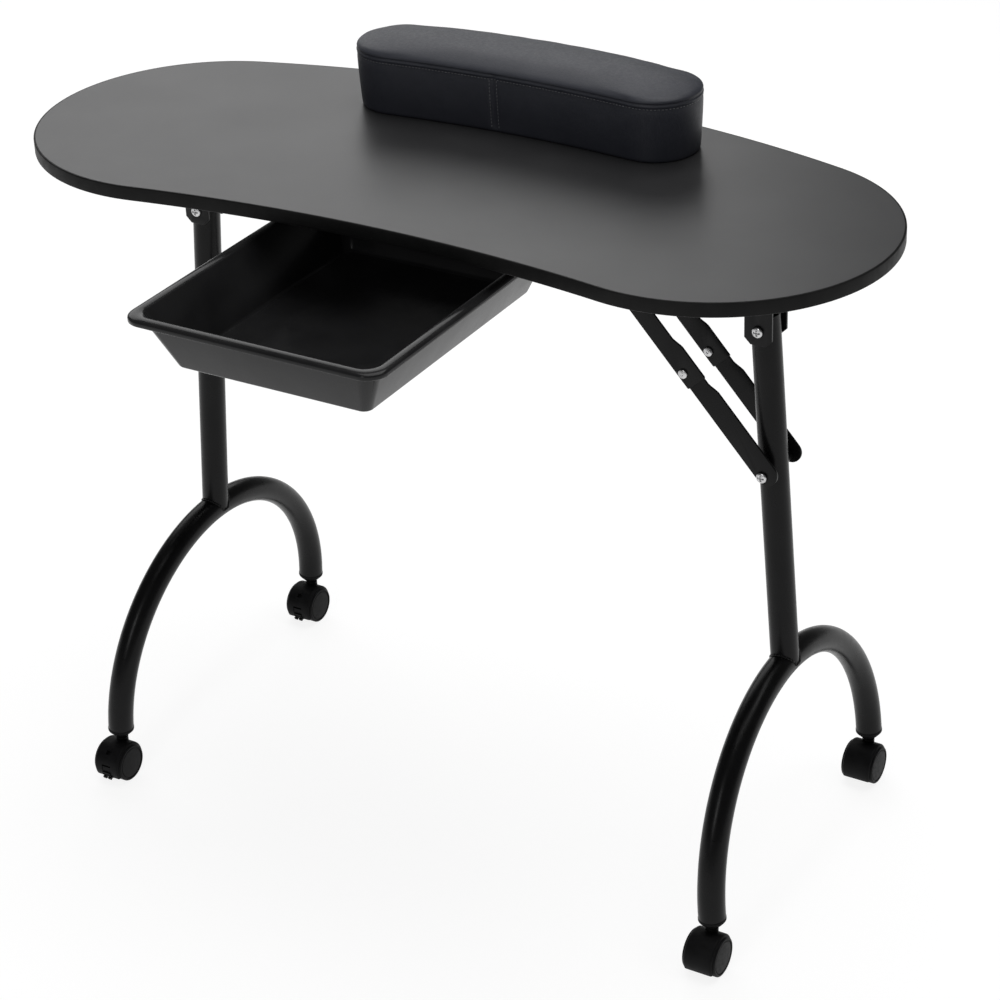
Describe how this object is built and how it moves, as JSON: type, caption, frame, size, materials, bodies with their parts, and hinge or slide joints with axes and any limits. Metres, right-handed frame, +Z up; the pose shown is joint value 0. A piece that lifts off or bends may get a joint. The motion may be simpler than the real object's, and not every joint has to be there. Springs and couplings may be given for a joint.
{
  "type": "folding manicure table",
  "caption": "Bean-shaped folding manicure table with a wrist cushion, a pull-out tray and two arched legs on twin-wheel casters.",
  "frame": {"origin": "on the floor, under the middle of the whole object with its tray pulled out", "axes": "+X to the right along the top, as seen by the user at the tray side; +Y from the tray side to the cushion side; +Z up"},
  "size_m": [0.8994, 0.5695, 0.774],
  "materials": {
    "laminate_top": "matt black laminate, fine orange-peel texture",
    "edge_band": "satin black plastic edge band",
    "cushion_leather": "black synthetic leather, fine grain, double stitched",
    "hardboard": "plain hardboard",
    "tray_plastic": "glossy black moulded plastic",
    "rail_plastic": "black plastic",
    "painted_frame": "black powder coat, semi-gloss",
    "black_nylon": "moulded black nylon",
    "zinc_steel": "bright zinc plate"
  },
  "bodies": {
    "tabletop": {"tabletop_board": "laminate_top", "tabletop_edge_band": "edge_band", "wrist_cushion": "cushion_leather", "cushion_base_board": "hardboard", "tray_rail_left": "rail_plastic", "tray_rail_right": "rail_plastic", "leg_hinge_bracket_right": "painted_frame", "leg_pivot_bolt_right": "zinc_steel", "brace_bracket_right": "painted_frame", "brace_pin_right": "zinc_steel", "leg_hinge_bracket_left": "painted_frame", "leg_pivot_bolt_left": "zinc_steel", "brace_bracket_left": "painted_frame", "brace_pin_left": "zinc_steel"},
    "tray": {"pull_out_tray": "tray_plastic"},
    "leg_right": {"leg_post_right": "painted_frame", "arched_foot_right": "painted_frame", "brace_foot_bolt_right": "zinc_steel", "tube_plug_right_front": "black_nylon", "tube_plug_right_rear": "black_nylon"},
    "upper_brace_right": {"upper_brace_link_right_front": "painted_frame", "upper_brace_link_right_rear": "painted_frame", "elbow_rivet_right_front": "zinc_steel", "elbow_rivet_right_rear": "zinc_steel"},
    "lower_brace_right": {"lower_brace_link_right_front": "painted_frame", "lower_brace_link_right_rear": "painted_frame"},
    "leg_left": {"leg_post_left": "painted_frame", "arched_foot_left": "painted_frame", "brace_foot_bolt_left": "zinc_steel", "tube_plug_left_front": "black_nylon", "tube_plug_left_rear": "black_nylon"},
    "upper_brace_left": {"upper_brace_link_left_front": "painted_frame", "upper_brace_link_left_rear": "painted_frame", "elbow_rivet_left_front": "zinc_steel", "elbow_rivet_left_rear": "zinc_steel"},
    "lower_brace_left": {"lower_brace_link_left_front": "painted_frame", "lower_brace_link_left_rear": "painted_frame"},
    "caster_left_front": {"caster_stem_left_front": "black_nylon", "caster_hood_left_front": "black_nylon", "caster_axle_left_front": "zinc_steel"},
    "wheel_left_front_left": {"caster_wheel_left_front_left": "black_nylon"},
    "wheel_left_front_right": {"caster_wheel_left_front_right": "black_nylon"},
    "brake_left_front": {"brake_lever_left_front": "black_nylon"},
    "caster_left_rear": {"caster_stem_left_rear": "black_nylon", "caster_hood_left_rear": "black_nylon", "caster_axle_left_rear": "zinc_steel"},
    "wheel_left_rear_left": {"caster_wheel_left_rear_left": "black_nylon"},
    "wheel_left_rear_right": {"caster_wheel_left_rear_right": "black_nylon"},
    "brake_left_rear": {"brake_lever_left_rear": "black_nylon"},
    "caster_right_front": {"caster_stem_right_front": "black_nylon", "caster_hood_right_front": "black_nylon", "caster_axle_right_front": "zinc_steel"},
    "wheel_right_front_left": {"caster_wheel_right_front_left": "black_nylon"},
    "wheel_right_front_right": {"caster_wheel_right_front_right": "black_nylon"},
    "caster_right_rear": {"caster_stem_right_rear": "black_nylon", "caster_hood_right_rear": "black_nylon", "caster_axle_right_rear": "zinc_steel"},
    "wheel_right_rear_left": {"caster_wheel_right_rear_left": "black_nylon"},
    "wheel_right_rear_right": {"caster_wheel_right_rear_right": "black_nylon"}
  },
  "joints": [
    {"name": "tray_slide", "type": "slide", "parent": "tabletop", "child": "tray", "axis": [0, 1, 0], "range_m": [0, 0.2]},
    {"name": "leg_fold_right", "type": "hinge", "parent": "tabletop", "child": "leg_right", "pos_m": [0.31531, 0.08995, 0.5955], "axis": [0, 1, 0], "range_deg": [0, 94]},
    {"name": "upper_brace_right_turn", "type": "hinge", "parent": "tabletop", "child": "upper_brace_right", "pos_m": [0.16031, 0.08995, 0.6375], "axis": [0, -1, 0], "range_deg": [0, 45.82]},
    {"name": "lower_brace_right_turn", "type": "hinge", "parent": "leg_right", "child": "lower_brace_right", "pos_m": [0.3254, 0.08995, 0.45115], "axis": [0, 1, 0], "range_deg": [0, 20.32]},
    {"name": "leg_fold_left", "type": "hinge", "parent": "tabletop", "child": "leg_left", "pos_m": [-0.31531, 0.08995, 0.5955], "axis": [0, -1, 0], "range_deg": [0, 87.5]},
    {"name": "upper_brace_left_turn", "type": "hinge", "parent": "tabletop", "child": "upper_brace_left", "pos_m": [-0.16031, 0.08995, 0.6375], "axis": [0, 1, 0], "range_deg": [0, 40.94]},
    {"name": "lower_brace_left_turn", "type": "hinge", "parent": "leg_left", "child": "lower_brace_left", "pos_m": [-0.3254, 0.08995, 0.45115], "axis": [0, -1, 0], "range_deg": [0, 24.04]},
    {"name": "caster_swivel_left_front", "type": "hinge", "parent": "leg_left", "child": "caster_left_front", "pos_m": [-0.353, -0.09205, 0.043], "axis": [0, 0, 1], "continuous": true},
    {"name": "wheel_roll_left_front_left", "type": "hinge", "parent": "caster_left_front", "child": "wheel_left_front_left", "pos_m": [-0.3659, -0.10205, 0.02], "axis": [1, 0, 0], "continuous": true},
    {"name": "wheel_roll_left_front_right", "type": "hinge", "parent": "caster_left_front", "child": "wheel_left_front_right", "pos_m": [-0.3401, -0.10205, 0.02], "axis": [1, 0, 0], "continuous": true},
    {"name": "brake_lever_left_front_flip", "type": "hinge", "parent": "caster_left_front", "child": "brake_left_front", "pos_m": [-0.353, -0.11995, 0.02188], "axis": [-1, 0, 0], "range_deg": [0, 14]},
    {"name": "caster_swivel_left_rear", "type": "hinge", "parent": "leg_left", "child": "caster_left_rear", "pos_m": [-0.353, 0.27195, 0.043], "axis": [0, 0, 1], "continuous": true},
    {"name": "wheel_roll_left_rear_left", "type": "hinge", "parent": "caster_left_rear", "child": "wheel_left_rear_left", "pos_m": [-0.3659, 0.26195, 0.02], "axis": [1, 0, 0], "continuous": true},
    {"name": "wheel_roll_left_rear_right", "type": "hinge", "parent": "caster_left_rear", "child": "wheel_left_rear_right", "pos_m": [-0.3401, 0.26195, 0.02], "axis": [1, 0, 0], "continuous": true},
    {"name": "brake_lever_left_rear_flip", "type": "hinge", "parent": "caster_left_rear", "child": "brake_left_rear", "pos_m": [-0.353, 0.24405, 0.02188], "axis": [-1, 0, 0], "range_deg": [0, 14]},
    {"name": "caster_swivel_right_front", "type": "hinge", "parent": "leg_right", "child": "caster_right_front", "pos_m": [0.353, -0.09205, 0.043], "axis": [0, 0, 1], "continuous": true},
    {"name": "wheel_roll_right_front_left", "type": "hinge", "parent": "caster_right_front", "child": "wheel_right_front_left", "pos_m": [0.3401, -0.10205, 0.02], "axis": [1, 0, 0], "continuous": true},
    {"name": "wheel_roll_right_front_right", "type": "hinge", "parent": "caster_right_front", "child": "wheel_right_front_right", "pos_m": [0.3659, -0.10205, 0.02], "axis": [1, 0, 0], "continuous": true},
    {"name": "caster_swivel_right_rear", "type": "hinge", "parent": "leg_right", "child": "caster_right_rear", "pos_m": [0.353, 0.27195, 0.043], "axis": [0, 0, 1], "continuous": true},
    {"name": "wheel_roll_right_rear_left", "type": "hinge", "parent": "caster_right_rear", "child": "wheel_right_rear_left", "pos_m": [0.3401, 0.26195, 0.02], "axis": [1, 0, 0], "continuous": true},
    {"name": "wheel_roll_right_rear_right", "type": "hinge", "parent": "caster_right_rear", "child": "wheel_right_rear_right", "pos_m": [0.3659, 0.26195, 0.02], "axis": [1, 0, 0], "continuous": true}
  ],
  "couplings": [
    {"joint": "upper_brace_right_turn", "follows": "leg_fold_right", "ratio": 0.48738},
    {"joint": "lower_brace_right_turn", "follows": "leg_fold_right", "ratio": 0.21606},
    {"joint": "upper_brace_left_turn", "follows": "leg_fold_left", "ratio": 0.46779},
    {"joint": "lower_brace_left_turn", "follows": "leg_fold_left", "ratio": 0.27463}
  ]
}
